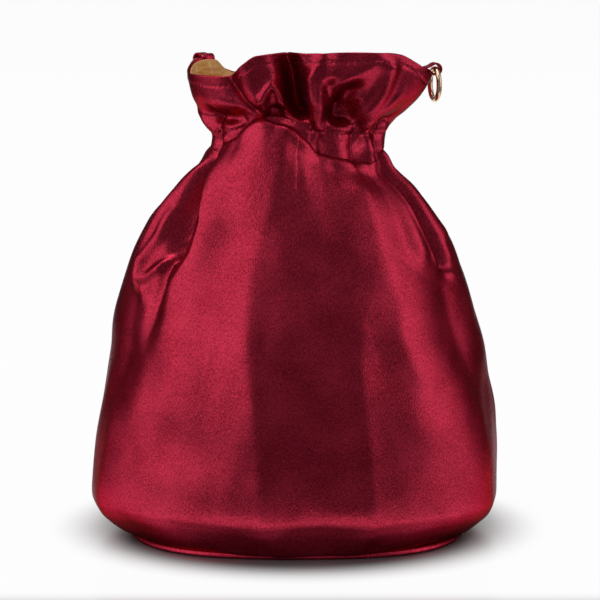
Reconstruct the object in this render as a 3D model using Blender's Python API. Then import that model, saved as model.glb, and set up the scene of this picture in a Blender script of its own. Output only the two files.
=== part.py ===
# Potli bag: two satin panels gathered by an elastic under a ruffled mouth, an oval base,
# a gold lining, and a ring in a satin tab at each side seam. Metres, +Z up, front at -Y,
# origin on the floor under the middle of the base. Angles run from the front towards +X.
import math
from collections import namedtuple

import bmesh
import bpy
import numpy as np

Level = namedtuple("Level", "height width depth sway")
Fold = namedtuple("Fold", "rise width path")
Layer = namedtuple("Layer", "depth rolled room")

# Cloth and board
SATIN = 0.0010
LINING = 0.0006
FIT_GAP = 0.0004
SOLE_THICKNESS = 0.0020
BOARD_THICKNESS = 0.0020
LINING_FLOOR = 0.0006

# Outline of the satin, from the sewn base seam to the mouth
SEAM = Level(SOLE_THICKNESS + FIT_GAP, 0.1640, 0.1446, 0.0000)
TUCK = Level(0.0068, 0.1836, 0.1520, -0.0003)
BELLY = Level(0.0220, 0.1890, 0.1556, -0.0010)
SIDE = Level(0.0450, 0.1864, 0.1540, 0.0000)
WAIST = Level(0.0740, 0.1784, 0.1480, -0.0001)
FLANK = Level(0.1020, 0.1675, 0.1350, -0.0010)
CHEST = Level(0.1250, 0.1530, 0.1180, -0.0015)
SHOULDER = Level(0.1440, 0.1340, 0.0980, -0.0014)
SLOPE = Level(0.1600, 0.1086, 0.0760, -0.0002)
COLLAR = Level(0.1700, 0.0860, 0.0600, -0.0002)
NECK = Level(0.1812, 0.0730, 0.0480, 0.0006)
FLARE = Level(0.1930, 0.0884, 0.0550, 0.0026)
RUFFLE = Level(0.2030, 0.1050, 0.0630, 0.0042)
MOUTH = Level(0.2160, 0.1144, 0.0690, 0.0062)
BASE_CORNER = 2.3            # superellipse power at the base, 2 is an ellipse
RIM_HEIGHT = 0.2237
RIM_FLARE = 0.6              # how much of the ruffle's flare goes on above the mouth level
SOLE_MARGIN = 0.0006         # the sole's edge shows this far outside the seam

# Gather
CASING_HEIGHT = 0.0086       # between the two rows of stitches that hold the elastic
CASING_PUFF = 0.0012
PLEATS = 14
PLEAT_DEPTH = 0.0032
PLEAT_REACH_DOWN = 0.010
PLEAT_REACH_UP = 0.020
ELASTIC_WIDTH = 0.0050
ELASTIC_THICKNESS = 0.0008
ROLL_SETBACK = 0.0045        # the collar's crest lies this far under the lower stitches
ROLL_REACH = 0.0380
ROLL_LEAN = 0.22             # outward share of the roll

# Side tabs and rings
LEFT_SEAM_TWIST = -30.0      # degrees that the mouth turns the left seam to the back
RIGHT_SEAM_TWIST = 4.0
TAB_WIDTH = 0.0052
TAB_STRIP = 0.0009
TAB_STEM = 0.0060            # sewn in between satin and lining
TAB_CREST = 0.0025           # the folded strip's middle passes this far over the rim
TAB_SLIT = 0.0001            # between the strip's two ends
RIGHT_EYE = (0.0056, 0.0018)     # out from the stem, up from the rim
LEFT_EYE = (0.0060, -0.0003)
RING_WIRE = 0.0025
RING_OUTER = 0.0166
RIGHT_RING_TURN = 14.5       # degrees of the ring's axis from the Y axis
LEFT_RING_TURN = -45.0

# Heights of the gather line and of the rim around the bag: (angle, offset)
GATHER_LOW = ((-140, 0.001), (-90, 0.0), (-66, 0.0005), (-48, 0.0025), (-30, 0.0070),
              (-19, 0.0090), (-8, 0.0080), (4, 0.0040), (16, -0.0010), (32, -0.0045),
              (46, -0.0050), (62, -0.0020), (80, 0.0), (150, -0.002), (180, 0.001))
GATHER_HIGH = ((-140, 0.0), (-90, 0.0), (-66, 0.0005), (-48, 0.0025), (-30, 0.0070),
               (-19, 0.0090), (-8, 0.0080), (4, 0.0045), (16, 0.0020), (32, 0.0008),
               (60, 0.0), (150, 0.001), (180, 0.0))
ROLL = ((-150, 0.003), (-90, 0.001), (-66, 0.002), (-48, 0.005), (-30, 0.0095),
        (-19, 0.0110), (-8, 0.0100), (4, 0.0065), (16, 0.0045), (32, 0.0040),
        (46, 0.0030), (62, 0.0010), (90, 0.001), (130, 0.003), (180, 0.005))
RIM_DROP = ((-150, 0.0125), (-140, 0.0128), (-131, 0.0103), (-122, 0.0060), (-112, 0.0056),
            (-102, 0.0078), (-92, 0.0096), (-80, 0.0112), (-62, 0.0114), (-44, 0.0116),
            (-37, 0.0096), (-30, 0.0052), (-24, 0.0016), (-12, 0.0007), (20, 0.0),
            (34, 0.0004), (44, 0.0016), (56, 0.0060), (66, 0.0102), (78, 0.0121),
            (96, 0.0114), (116, 0.0093), (150, 0.0060), (180, 0.0080))

# Folds that start at the gather: rise in metres, half width, path of (angle, height over
# the middle of the casing)
FOLDS = (
    Fold(-0.0035, 0.0030, ((-41, 0.034), (-36, 0.025), (-30, 0.019), (-24, 0.012))),
    Fold(0.0030, 0.0110, ((-64, 0.026), (-60, 0.019))),
    Fold(-0.0055, 0.0048, ((-74, 0.013), (-58, 0.011), (-44, 0.010))),
    Fold(0.0026, 0.0034, ((-88, 0.012), (-76, 0.007), (-58, 0.002))),
    Fold(0.0042, 0.0070, ((-30, 0.038), (-27, 0.026), (-22, 0.017))),
    Fold(-0.0105, 0.0052, ((-12, 0.042), (-8, 0.030), (-4, 0.021), (1, 0.010))),
    Fold(0.0040, 0.0034, ((6, 0.040), (3, 0.030), (4, 0.021), (11, 0.009))),
    Fold(-0.0050, 0.0042, ((10, 0.027), (14, 0.021), (20, 0.012))),
    Fold(0.0045, 0.0075, ((30, 0.040), (21, 0.033), (13, 0.028))),
    Fold(-0.0068, 0.0044, ((34, 0.033), (25, 0.027), (21, 0.020), (28, 0.012), (40, 0.004))),
    Fold(0.0042, 0.0044, ((38, 0.035), (39, 0.024), (38, 0.010), (47, 0.001), (55, -0.008))),
    Fold(0.0030, 0.0110, ((64, 0.028), (60, 0.018))),
    Fold(-0.0012, 0.0070, ((95, 0.036), (94, 0.022))),
    Fold(-0.0020, 0.0070, ((-119, 0.036), (-119, 0.022))),
    Fold(-0.0048, 0.0040, ((54, 0.009), (66, 0.010), (78, 0.008))),
    Fold(-0.0070, 0.0060, ((-64, -0.004), (-59, -0.015), (-53, -0.030), (-50, -0.046))),
    Fold(0.0038, 0.0050, ((-68, -0.012), (-68, -0.036), (-69, -0.050), (-66, -0.058))),
    Fold(-0.0042, 0.0042, ((61, -0.006), (64, -0.022), (64, -0.038), (67, -0.054))),
    Fold(0.0030, 0.0060, ((56, -0.010), (54, -0.030), (53, -0.045))),
    Fold(0.0026, 0.0060, ((74, -0.012), (76, -0.040))),
    Fold(-0.0064, 0.0066, ((122, 0.036), (124, 0.020), (127, 0.006), (129, -0.020))),
    Fold(0.0036, 0.0070, ((141, 0.036), (142, 0.018))),
    Fold(-0.0062, 0.0064, ((161, 0.034), (158, 0.018), (155, 0.002), (151, -0.026))),
    Fold(0.0040, 0.0080, ((178, 0.034), (180, 0.016))),
    Fold(-0.0056, 0.0066, ((197, 0.030), (199, 0.018), (201, 0.002), (205, -0.030))),
    Fold(0.0036, 0.0065, ((210, 0.030), (212, 0.016))),
    Fold(-0.0040, 0.0056, ((221, 0.030), (224, 0.016), (227, 0.000), (231, -0.022))),
    Fold(0.0035, 0.0070, ((168, -0.020), (166, -0.045))),
    Fold(0.0035, 0.0070, ((217, -0.018), (219, -0.044))),
    Fold(0.0030, 0.0070, ((142, -0.018), (141, -0.040))),
)

# Mesh density: columns of each panel and rows as heights or shares of the ruffle
FRONT_COLUMNS = 36
BACK_COLUMNS = 28
OVAL_SIDES = 40
RUFFLE_ROWS = (0.10, 0.26, 0.44, 0.62, 0.80, 1.0)
RING_SEGMENTS, WIRE_SEGMENTS = 18, 7
EYE_SEGMENTS = 12
BEND_SEGMENTS = 3

CASING_LOW = NECK.height - CASING_HEIGHT / 2
CASING_HIGH = NECK.height + CASING_HEIGHT / 2
PROFILE = (SEAM, TUCK, BELLY, SIDE, WAIST, FLANK, CHEST, SHOULDER, SLOPE, COLLAR, NECK,
           FLARE, RUFFLE, MOUTH)
STEEPEST = 1.35              # most that a fold's slope widens the cloth's own offset
EDGE_EASE = 1.3              # keeps the lining's lowest edge off the curved-in satin

PAINTS = {
    "satin": ((0.290, 0.016, 0.034), 0.38, 0.35),
    "gold_lining": ((0.520, 0.270, 0.085), 0.55, 0.10),
    "board": ((0.330, 0.270, 0.200), 0.85, 0.0),
    "elastic": ((0.640, 0.620, 0.590), 0.80, 0.0),
    "light_gold": ((0.800, 0.590, 0.400), 0.22, 1.0),
}


def smooth(x):
    x = np.clip(x, 0.0, 1.0)
    return x * x * (3 - 2 * x)


def curve_through(knots, values, at):
    """Shape-keeping cubic through the knots, which never overshoots them."""
    knots, values = np.asarray(knots, float), np.asarray(values, float)
    step = np.diff(knots)
    slope = np.diff(values) / step
    tangent = np.zeros(len(knots))
    for i in range(1, len(knots) - 1):
        if slope[i - 1] * slope[i] > 0:
            before, after = 2 * step[i] + step[i - 1], step[i] + 2 * step[i - 1]
            tangent[i] = (before + after) / (before / slope[i - 1] + after / slope[i])
    tangent[0], tangent[-1] = slope[0], slope[-1]
    k = np.clip(np.searchsorted(knots, at, side="right") - 1, 0, len(knots) - 2)
    t = (at - knots[k]) / step[k]
    return ((1 + 2 * t) * (1 - t) ** 2 * values[k] + t * (1 - t) ** 2 * step[k] * tangent[k]
            + t * t * (3 - 2 * t) * values[k + 1] + t * t * (t - 1) * step[k] * tangent[k + 1])


def around(table, angle):
    """A value that runs round the bag through a table of (degrees, value)."""
    rows = sorted((degrees % 360, value) for degrees, value in table)
    rows = [(rows[-1][0] - 360, rows[-1][1])] + rows + [(rows[0][0] + 360, rows[0][1])]
    return curve_through([r[0] for r in rows], [r[1] for r in rows],
                         np.degrees(angle) % 360)


def rim_height(angle):
    return RIM_HEIGHT - around(RIM_DROP, angle)


def gather_lift(angle, level):
    """The stitch rows aren't level: they climb under the front collar."""
    low = smooth((level - CHEST.height) / (CASING_LOW - CHEST.height))
    across = smooth((level - CASING_LOW) / CASING_HEIGHT)
    fade = 1 - smooth((level - CASING_HIGH) / (RUFFLE.height - CASING_HIGH))
    return (around(GATHER_LOW, angle) * low * (1 - across)
            + around(GATHER_HIGH, angle) * across * fade)


def roll_share(level):
    """The body cloth climbs to a crest and turns down to the lower stitches."""
    crest = CASING_LOW - ROLL_SETBACK
    up = smooth((level - crest + ROLL_REACH) / ROLL_REACH)
    down = smooth((CASING_LOW - level) / ROLL_SETBACK)
    return np.where(level < crest, up, down)


def section(level):
    """Half width, half depth and sway of the bag at a level."""
    heights = [row.height for row in PROFILE]
    at = np.minimum(level, MOUTH.height)
    flare = (MOUTH.width - RUFFLE.width) / (MOUTH.height - RUFFLE.height)
    past = np.maximum(level - MOUTH.height, 0) * flare * RIM_FLARE
    return ((curve_through(heights, [row.width for row in PROFILE], at) + past) / 2,
            (curve_through(heights, [row.depth for row in PROFILE], at) + past) / 2,
            curve_through(heights, [row.sway for row in PROFILE], at))


def body_point(angle, level, rolled):
    """The cloth's base surface, without its pleats and folds."""
    half_width, half_depth, sway = section(level)
    casing = np.clip(1 - ((level - NECK.height) / (CASING_HEIGHT / 2)) ** 2, 0, 1)
    roll = rolled * around(ROLL, angle) * roll_share(level)
    power = 2 + (BASE_CORNER - 2) * (1 - smooth(level / SHOULDER.height))
    sin, cos = np.sin(angle), np.cos(angle)
    square = (np.abs(sin) ** power + np.abs(cos) ** power) ** (-1 / power)
    spread = CASING_PUFF * casing + ROLL_LEAN * roll
    return np.stack([sway + (half_width + spread) * square * sin,
                     -(half_depth + spread) * square * cos,
                     level + gather_lift(angle, level) + roll], axis=-1)


def body_normal(angle, level, rolled):
    turn, climb = 1e-3, 1e-5
    across = body_point(angle + turn, level, rolled) - body_point(angle - turn, level, rolled)
    up = body_point(angle, level + climb, rolled) - body_point(angle, level - climb, rolled)
    normal = np.cross(across, up)
    return normal / np.linalg.norm(normal, axis=-1, keepdims=True)


def fold_rise(angle, level):
    """How far the folds lift or sink the cloth along its normal."""
    height = level + gather_lift(angle, level) - NECK.height
    turn = 1e-3
    reach = body_point(angle + turn, level, 0) - body_point(angle - turn, level, 0)
    per_radian = np.linalg.norm(reach, axis=-1) / (2 * turn)
    total = np.zeros_like(height)
    held = elastic_room(level)
    for fold in FOLDS:
        nearest = np.full(height.shape, np.inf)
        for (a0, h0), (a1, h1) in zip(fold.path, fold.path[1:]):
            from_start = (angle - math.radians(a0) + math.pi) % (2 * math.pi) - math.pi
            x, y = from_start * per_radian, height - h0
            run_x, run_y = math.radians(a1 - a0) * per_radian, h1 - h0
            share = np.clip((x * run_x + y * run_y) / (run_x ** 2 + run_y ** 2), 0, 1)
            nearest = np.minimum(nearest, np.hypot(x - share * run_x, y - share * run_y))
        total += fold.rise * np.exp(-(nearest / fold.width) ** 2)
    return np.where(total < 0, total * (1 - held), total)


def pleat_rise(angle, level):
    """Small pleats, deepest between the stitch rows."""
    reach = np.where(level < NECK.height,
                     (CASING_LOW - level) / PLEAT_REACH_DOWN,
                     (level - CASING_HIGH) / PLEAT_REACH_UP)
    return PLEAT_DEPTH * (1 - smooth(reach)) * np.abs(np.cos(angle * PLEATS / 2))


def elastic_room(level):
    """1 between the stitch rows, where the elastic parts satin and lining."""
    outside = np.abs(level - NECK.height) - CASING_HEIGHT / 2
    return 1 - smooth(outside / CASING_HEIGHT)


def tab_room(angle, level):
    """1 where a tab's stem lies between satin and lining."""
    room = np.zeros_like(level)
    for seam in (left_seam(RIM_HEIGHT), right_seam(RIM_HEIGHT)):
        off = np.abs((angle - seam + math.pi) % (2 * math.pi) - math.pi) * MOUTH.depth / 2
        beside = 1 - smooth((off - TAB_WIDTH * 0.9) / TAB_WIDTH)
        below = rim_height(angle) - level - TAB_STEM
        room = np.maximum(room, beside * (1 - smooth((below - FIT_GAP) / TAB_STEM)))
    return room


def cloth_rise(angle, level):
    return fold_rise(angle, level) + pleat_rise(angle, level)


def flattened(normal, share):
    """The normal with its climb taken out by a share of 0 to 1."""
    flat = normal.copy()
    flat[..., 2] = normal[..., 2] * (1 - share)
    return flat / np.linalg.norm(flat, axis=-1, keepdims=True)


def cloth_point(angle, level, layer, level_edge=False):
    """A point on one face of a cloth layer, counted inwards from the satin's face."""
    rise = cloth_rise(angle, level)
    turn = 1e-3
    edge = body_point(angle + turn, level, 0) - body_point(angle - turn, level, 0)
    slope = cloth_rise(angle + turn, level) - cloth_rise(angle - turn, level)
    slope = slope / np.linalg.norm(edge, axis=-1)
    inward = layer.depth * np.minimum(np.sqrt(1 + slope ** 2), STEEPEST)
    if layer.room:
        band = ELASTIC_THICKNESS + 2 * FIT_GAP + SATIN * (STEEPEST - 1)
        inward = inward + elastic_room(level) * (band + 2 * rise)
        stem = 2 * TAB_STRIP + TAB_SLIT + 3 * FIT_GAP
        inward = inward + tab_room(angle, level) * stem
    base = body_point(angle, level, layer.rolled)
    normal = body_normal(angle, level, layer.rolled)
    if level_edge:
        flat = flattened(normal, 1.0)
        climb = np.sqrt(1 - normal[..., 2] ** 2)
        ease = EDGE_EASE if layer.room else 1
        return base + flat * (rise - inward * ease / climb)[..., None]
    upright = flattened(normal, smooth((level - CASING_LOW) / CASING_HEIGHT))
    return base + upright * (rise - inward)[..., None]


SATIN_FACE = Layer(0.0, 1, False)
SATIN_BACK = Layer(SATIN, 1, False)
LINING_BACK = Layer(SATIN + FIT_GAP, 0, True)
LINING_FACE = Layer(SATIN + FIT_GAP + LINING, 0, True)


def left_seam(level):
    return math.radians(-90) + math.radians(LEFT_SEAM_TWIST) * seam_turn(level)


def right_seam(level):
    return math.radians(90) + math.radians(RIGHT_SEAM_TWIST) * seam_turn(level)


def seam_turn(level):
    return smooth((level - SHOULDER.height) / (RUFFLE.height - SHOULDER.height))


def shaded(mesh):
    mesh.shade_smooth()
    mesh.set_sharp_from_angle(angle=math.radians(50))


def paint(name):
    colour, roughness, metallic = PAINTS[name]
    material = bpy.data.materials.get(name) or bpy.data.materials.new(name)
    material.use_nodes = True
    surface = material.node_tree.nodes["Principled BSDF"]
    surface.inputs["Base Color"].default_value = (*colour, 1)
    surface.inputs["Roughness"].default_value = roughness
    surface.inputs["Metallic"].default_value = metallic
    return material


def new_object(name, points, faces, paint_name, parent=None, origin=(0, 0, 0)):
    mesh = bpy.data.meshes.new(name)
    mesh.from_pydata([tuple(np.subtract(p, origin)) for p in points], [], faces)
    mesh.materials.append(paint(paint_name))
    work = bmesh.new()
    work.from_mesh(mesh)
    bmesh.ops.recalc_face_normals(work, faces=work.faces)
    work.to_mesh(mesh)
    work.free()
    shaded(mesh)
    obj = bpy.data.objects.new(name, mesh)
    bpy.context.scene.collection.objects.link(obj)
    obj.parent = parent
    if parent is None:
        obj.location = origin
    return obj


def sheet_rows(shares, lowest, body_levels):
    """Levels of a cloth's rows: heights in the body, then shares of the ruffle."""
    rows = [lowest] + [h for h in body_levels if h > lowest]
    return [("height", h) for h in rows] + [("share", s) for s in shares]


def row_levels(rows, angles_at):
    """For each row, its angles and its levels."""
    for kind, value in rows:
        if kind == "height":
            angle = angles_at(value)
            yield angle, np.full(angle.shape, value)
        else:
            angle = angles_at(CASING_HIGH + value * (RIM_HEIGHT - CASING_HIGH))
            yield angle, CASING_HIGH + value * (rim_height(angle) - CASING_HIGH)


def cloth_object(name, rows, angles_at, face, back, closed, paint_name):
    """A closed sheet of cloth between two layers, as one ring or as one panel."""
    outer, inner = [], []
    for angle, level in row_levels(rows, angles_at):
        lowest = not outer
        outer.append(cloth_point(angle, level, face, lowest))
        inner.append(cloth_point(angle, level, back, lowest))
    points = np.concatenate([np.array(outer).reshape(-1, 3), np.array(inner).reshape(-1, 3)])
    high, wide = len(outer), outer[0].shape[0]
    back_start = high * wide
    spans = wide if closed else wide - 1
    faces = []
    for r in range(high - 1):
        for c in range(spans):
            a, b = r * wide + c, r * wide + (c + 1) % wide
            for corners in ((a, b, b + wide), (a, b + wide, a + wide)):
                faces.append(corners)
                faces.append(tuple(i + back_start for i in reversed(corners)))
    for r in (0, high - 1):
        for c in range(spans):
            a, b = r * wide + c, r * wide + (c + 1) % wide
            faces.append((a, b, b + back_start, a + back_start))
    if not closed:
        for c in (0, wide - 1):
            for r in range(high - 1):
                a = r * wide + c
                faces.append((a, a + wide, a + wide + back_start, a + back_start))
    return new_object(name, points, faces, paint_name)


def panel_angles(start, end, columns):
    """Angles of a panel's columns between two seams, with half a gap left at each."""
    def at(level):
        first, last = start(level), end(level)
        half_gap = FIT_GAP / 2 / section(level)[1]
        return np.linspace(first + half_gap, last - half_gap, columns + 1)
    return at


def ring_angles(level):
    """Columns of a whole ring of cloth, in line with those of the two panels."""
    front = panel_angles(left_seam, right_seam, FRONT_COLUMNS)(level)
    back = panel_angles(right_seam, back_left_seam, BACK_COLUMNS)(level)
    return np.concatenate([front[:-1], back[:-1]])


def back_left_seam(level):
    return left_seam(level) + 2 * math.pi


BODY_ROWS = (TUCK.height, 0.0130, 0.0300, 0.0560, 0.0850, 0.1120, 0.1330, 0.1500, 0.1620,
             CASING_LOW - ROLL_SETBACK * 1.5, CASING_LOW - ROLL_SETBACK * 0.6, CASING_LOW,
             NECK.height, CASING_HIGH)
LINING_BODY_ROWS = (0.0300, 0.0850, 0.1120, 0.1330, 0.1500, 0.1620,
                    CASING_LOW - ROLL_SETBACK * 1.5, CASING_LOW - ROLL_SETBACK * 0.6,
                    CASING_LOW, CASING_HIGH)


def make_panels():
    rows = sheet_rows(RUFFLE_ROWS, SEAM.height, BODY_ROWS)
    cloth_object("front_panel", rows, panel_angles(left_seam, right_seam, FRONT_COLUMNS),
                 SATIN_FACE, SATIN_BACK, False, "satin")
    cloth_object("back_panel", rows, panel_angles(right_seam, back_left_seam, BACK_COLUMNS),
                 SATIN_FACE, SATIN_BACK, False, "satin")


def lining_floor_height():
    return SOLE_THICKNESS + BOARD_THICKNESS + 2 * FIT_GAP


def make_lining():
    lowest = lining_floor_height() + LINING_FLOOR + FIT_GAP
    rows = sheet_rows(RUFFLE_ROWS, lowest, LINING_BODY_ROWS)
    cloth_object("lining_wall", rows, ring_angles, LINING_BACK, LINING_FACE, True,
                 "gold_lining")


def make_elastic():
    """A band in the casing, as wide as its pleats let it be."""
    outer = SATIN * STEEPEST + FIT_GAP
    low, high = NECK.height - ELASTIC_WIDTH / 2, NECK.height + ELASTIC_WIDTH / 2
    angle = ring_angles(NECK.height)
    rings = []
    for level, depth in ((low, outer), (high, outer), (high, outer + ELASTIC_THICKNESS),
                         (low, outer + ELASTIC_THICKNESS)):
        at = np.full(angle.shape, level)
        rings.append(body_point(angle, at, 0) - body_normal(angle, at, 0) * depth)
    wide = len(angle)
    faces = [(r * wide + c, r * wide + (c + 1) % wide,
              (r + 1) % 4 * wide + (c + 1) % wide, (r + 1) % 4 * wide + c)
             for r in range(4) for c in range(wide)]
    return new_object("neck_elastic", np.concatenate(rings), faces, "elastic")


def oval_plate(name, level, inset, bottom, thickness, sides, paint_name):
    """A flat oval that follows the satin's section at a level, moved in by an inset."""
    angle = np.linspace(0, 2 * math.pi, sides, endpoint=False)
    section = body_point(angle, np.full(sides, level), 0)
    normal = body_normal(angle, np.full(sides, level), 0)
    normal[:, 2] = 0
    section = section - normal / (normal ** 2).sum(axis=1)[:, None] * inset
    section[:, 2] = bottom
    top = section + (0, 0, thickness)
    faces = [tuple(range(sides - 1, -1, -1)), tuple(range(sides, 2 * sides))]
    faces += [(i, (i + 1) % sides, sides + (i + 1) % sides, sides + i) for i in range(sides)]
    return new_object(name, np.concatenate([section, top]), faces, paint_name)


def make_base():
    columns = FRONT_COLUMNS + BACK_COLUMNS
    inside = SATIN + FIT_GAP
    oval_plate("base_panel", SEAM.height, -SOLE_MARGIN, 0, SOLE_THICKNESS, columns, "satin")
    oval_plate("base_board", SEAM.height, inside, SOLE_THICKNESS + FIT_GAP, BOARD_THICKNESS,
               OVAL_SIDES, "board")
    oval_plate("lining_base", lining_floor_height(), inside, lining_floor_height(),
               LINING_FLOOR, columns, "gold_lining")


def tab_frame(seam, turn, eye_place):
    """The rim's middle between satin and lining, the stem's foot, the eye and its axis."""
    angle = np.array([seam])
    rim = rim_height(angle)
    sagging = TAB_WIDTH ** 2 / (8 * MOUTH.depth / 2)
    stem = Layer(SATIN + FIT_GAP + sagging + TAB_STRIP + TAB_SLIT / 2, 0, False)
    top = cloth_point(angle, rim, stem)[0]
    foot = cloth_point(angle, rim - TAB_STEM, stem)[0]
    axis = np.array([math.sin(math.radians(turn)), -math.cos(math.radians(turn)), 0])
    out = np.cross(axis, (0, 0, 1))
    out = out * np.sign(np.dot(out, (math.sin(seam), -math.cos(seam), 0)))
    down = np.array([np.dot(foot - top, out), (foot - top)[2]])
    return top, out, down, top + out * eye_place[0] + np.array([0, 0, eye_place[1]]), axis


def tab_eye_radius():
    """The wire bends inside the tab, so the eye clears its swept width."""
    mean = (RING_OUTER - RING_WIRE) / 2
    bend = mean - math.sqrt(mean ** 2 - (TAB_WIDTH / 2) ** 2)
    return RING_WIRE / 2 + bend + FIT_GAP


def tab_path(down, eye_place):
    """The strip's middle line: up one end, round the eye and down the other end."""
    apart = (TAB_STRIP + TAB_SLIT) / 2
    radius = tab_eye_radius() + TAB_STRIP / 2
    eye = np.array(eye_place)
    crest = np.array([0.0, TAB_CREST])
    towards = (eye - crest) / np.linalg.norm(eye - crest)
    waist = eye - towards * radius * 1.35
    middle = [down]
    for t in np.linspace(0, 1, BEND_SEGMENTS + 1):
        middle.append(t * t * waist + 2 * t * (1 - t) * crest)
    middle = np.array(middle)
    run = np.gradient(middle, axis=0)
    run /= np.linalg.norm(run, axis=1)[:, None]
    left = np.stack([-run[:, 1], run[:, 0]], axis=1) * apart
    facing = math.atan2(-towards[1], -towards[0])
    opening = math.acos(radius / (radius * 1.35)) * 0.9
    arc = [eye + radius * np.array([math.cos(facing - a), math.sin(facing - a)])
           for a in np.linspace(opening, 2 * math.pi - opening, EYE_SEGMENTS + 1)]
    return np.array(list(middle + left) + arc + list((middle - left)[::-1]))


def make_tab(name, top, out, down, eye_place, axis):
    """A strip folded round the ring, with both ends sewn in at the rim."""
    path = tab_path(down, eye_place)
    run = np.gradient(path, axis=0)
    run /= np.linalg.norm(run, axis=1)[:, None]
    across = np.stack([-run[:, 1], run[:, 0]], axis=1) * TAB_STRIP / 2
    corners = []
    for line, side in ((path + across, 1), (path - across, 1), (path - across, -1),
                       (path + across, -1)):
        corners.append([top + out * x + np.array([0, 0, z]) + axis * side * TAB_WIDTH / 2
                        for x, z in line])
    count = len(path)
    faces = [(0, count, 2 * count, 3 * count),
             (4 * count - 1, 3 * count - 1, 2 * count - 1, count - 1)]
    for k in range(4):
        for i in range(count - 1):
            a, b = k * count + i, (k + 1) % 4 * count + i
            faces.append((a, a + 1, b + 1, b))
    return new_object(name, np.concatenate(corners), faces, "satin")


def make_ring(name, eye, axis, parent):
    """A closed wire ring that hangs from the eye, with its origin on the swing axis."""
    mean, wire = (RING_OUTER - RING_WIRE) / 2, RING_WIRE / 2
    points, faces = [], []
    for i in range(RING_SEGMENTS):
        t = 2 * math.pi * i / RING_SEGMENTS
        outward = axis * math.sin(t) + np.array([0, 0, math.cos(t)])
        middle = eye - np.array([0, 0, mean]) + outward * mean
        side = np.cross(axis, (0, 0, 1))
        for j in range(WIRE_SEGMENTS):
            s = 2 * math.pi * (j + 0.5) / WIRE_SEGMENTS
            points.append(middle + (outward * math.cos(s) + side * math.sin(s)) * wire)
            a, b = i * WIRE_SEGMENTS + j, i * WIRE_SEGMENTS + (j + 1) % WIRE_SEGMENTS
            ahead = WIRE_SEGMENTS
            total = RING_SEGMENTS * WIRE_SEGMENTS
            faces.append((a, b, (b + ahead) % total, (a + ahead) % total))
    return new_object(name, points, faces, "light_gold", parent, eye)


def make_side(side_name, seam, turn, eye_place):
    top, out, down, eye, axis = tab_frame(seam, turn, eye_place)
    make_tab("tab_" + side_name, top, out, down, eye_place, axis)
    hinge = bpy.data.objects.new("hinge_" + side_name, None)
    hinge.location = eye
    bpy.context.scene.collection.objects.link(hinge)
    make_ring("ring_" + side_name, eye, axis, hinge)


def clear_scene():
    for obj in list(bpy.data.objects):
        bpy.data.objects.remove(obj, do_unlink=True)


def main():
    clear_scene()
    make_base()
    make_panels()
    make_lining()
    make_elastic()
    make_side("right", right_seam(RIM_HEIGHT), RIGHT_RING_TURN, RIGHT_EYE)
    make_side("left", left_seam(RIM_HEIGHT), LEFT_RING_TURN, LEFT_EYE)


main()
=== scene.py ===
import math

import bpy
import numpy as np
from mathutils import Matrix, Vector


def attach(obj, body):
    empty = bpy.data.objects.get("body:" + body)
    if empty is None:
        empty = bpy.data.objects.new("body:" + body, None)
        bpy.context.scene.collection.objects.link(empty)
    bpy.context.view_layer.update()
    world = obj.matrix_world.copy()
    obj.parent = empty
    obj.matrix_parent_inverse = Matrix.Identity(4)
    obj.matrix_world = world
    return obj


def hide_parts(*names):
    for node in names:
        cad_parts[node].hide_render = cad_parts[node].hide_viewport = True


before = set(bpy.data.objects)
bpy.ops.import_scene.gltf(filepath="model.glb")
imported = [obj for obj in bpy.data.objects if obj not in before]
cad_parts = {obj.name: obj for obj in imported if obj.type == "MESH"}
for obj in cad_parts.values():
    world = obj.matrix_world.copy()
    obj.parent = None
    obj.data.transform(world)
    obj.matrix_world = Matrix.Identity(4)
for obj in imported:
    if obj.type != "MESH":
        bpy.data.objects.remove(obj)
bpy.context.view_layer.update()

# Satin bag of two gathered panels over an oval base, lined, with a ring in a tab at each side.
# Metres, front at -Y, origin under the middle of the base. Angles run from the front to +X.

# The bag's outline: height, width, depth and sway of each level
outline = {
    "seam": (0.0024, 0.1540, 0.1376, 0.0000),
    "tuck": (0.0090, 0.1740, 0.1444, -0.0003),
    "curl": (0.0150, 0.1856, 0.1512, -0.0006),
    "hang": (0.0190, 0.1886, 0.1551, -0.0008),
    "belly": (0.0235, 0.1890, 0.1556, -0.0010),
    "side": (0.0450, 0.1864, 0.1540, 0.0000),
    "waist": (0.0740, 0.1784, 0.1480, -0.0001),
    "flank": (0.1020, 0.1675, 0.1350, -0.0010),
    "chest": (0.1250, 0.1530, 0.1180, -0.0015),
    "shoulder": (0.1440, 0.1340, 0.0980, -0.0014),
    "slope": (0.1600, 0.1086, 0.0760, -0.0002),
    "collar": (0.1700, 0.0860, 0.0600, -0.0002),
    "neck": (0.1812, 0.0730, 0.0480, 0.0006),
    "flare": (0.1930, 0.0884, 0.0550, 0.0026),
    "ruffle": (0.2030, 0.1050, 0.0630, 0.0042),
    "mouth": (0.2160, 0.1144, 0.0690, 0.0062),
}
outlineRows = np.array(list(outline.values()))
neckHeight = outline["neck"][0]
shoulderHeight = outline["shoulder"][0]
chestHeight = outline["chest"][0]
ruffleHeight = outline["ruffle"][0]
mouthHeight = outline["mouth"][0]

# Cloth layers, counted inwards from the satin's face
cloth = {
    "satin": 0.0010,
    "lining": 0.0006,
    "gap": 0.0004,
    "steepest": 1.35,
    "panelGap": 0.0001,
    "liningReach": 0.0020,
    "liningFade": 0.008,
    "liningLowest": 0.0056,
    "liningTurnRows": 8,
    "liningTurn": 0.0002,
    "rimHeight": 0.2237,
    "rimFlare": 0.6,
    "baseCorner": 2.7,
}

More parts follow.
